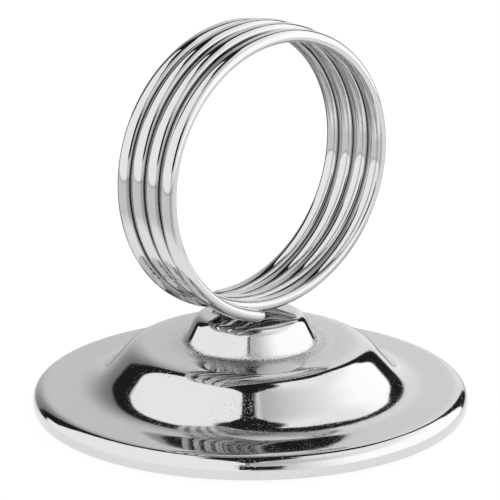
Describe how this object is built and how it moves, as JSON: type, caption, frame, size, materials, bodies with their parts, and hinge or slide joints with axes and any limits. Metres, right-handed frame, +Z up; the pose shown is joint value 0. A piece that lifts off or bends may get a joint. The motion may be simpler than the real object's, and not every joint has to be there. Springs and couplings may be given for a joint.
{
  "type": "table number holder",
  "caption": "Ring clip of coiled flattened wire brazed upright to a boss on a stepped, domed round weighted foot; a card is held between the turns.",
  "frame": {"origin": "middle of the felt pad's underside, where the holder stands on the table", "axes": "+Z up, the coil's axis along Y with the front free end towards -Y, the ring's plane along X"},
  "size_m": [0.0382, 0.0382, 0.0348],
  "materials": {
    "chrome_foot": "bright chrome plate over pressed steel, with a faint pitted grain",
    "chrome_wire": "bright chrome plate over drawn spring wire, with faint marks along the wire",
    "braze_metal": "plated filler metal, grainy and satin",
    "cast_ballast": "raw sand casting, dark and matte",
    "zinced_steel": "thin zinc-coated sheet, dull",
    "pad_felt": "pressed black felt"
  },
  "bodies": {
    "root": {"base_shell": "chrome_foot", "ring_boss": "chrome_foot", "ring_braze": "braze_metal", "ballast": "cast_ballast", "bottom_plate": "zinced_steel", "foot_pad": "pad_felt", "ring_turn_2": "chrome_wire"},
    "rear_turn": {"ring_turn_1": "chrome_wire"},
    "third_turn": {"ring_turn_3": "chrome_wire"},
    "front_turn": {"ring_turn_4": "chrome_wire"}
  },
  "joints": [
    {"name": "gap_rear", "type": "hinge", "parent": "root", "child": "rear_turn", "pos_m": [0, 0.0017, 0.0098], "axis": [-1, 0, 0], "range_deg": [-0.7, 4], "stiffness_Nm_per_rad": 0.004},
    {"name": "gap_middle", "type": "hinge", "parent": "root", "child": "third_turn", "pos_m": [0, -0.0002, 0.0102], "axis": [1, 0, 0], "range_deg": [-0.7, 4], "stiffness_Nm_per_rad": 0.004},
    {"name": "gap_front", "type": "hinge", "parent": "third_turn", "child": "front_turn", "pos_m": [0, -0.0021, 0.01025], "axis": [1, 0, 0], "range_deg": [-0.7, 4], "stiffness_Nm_per_rad": 0.004}
  ]
}
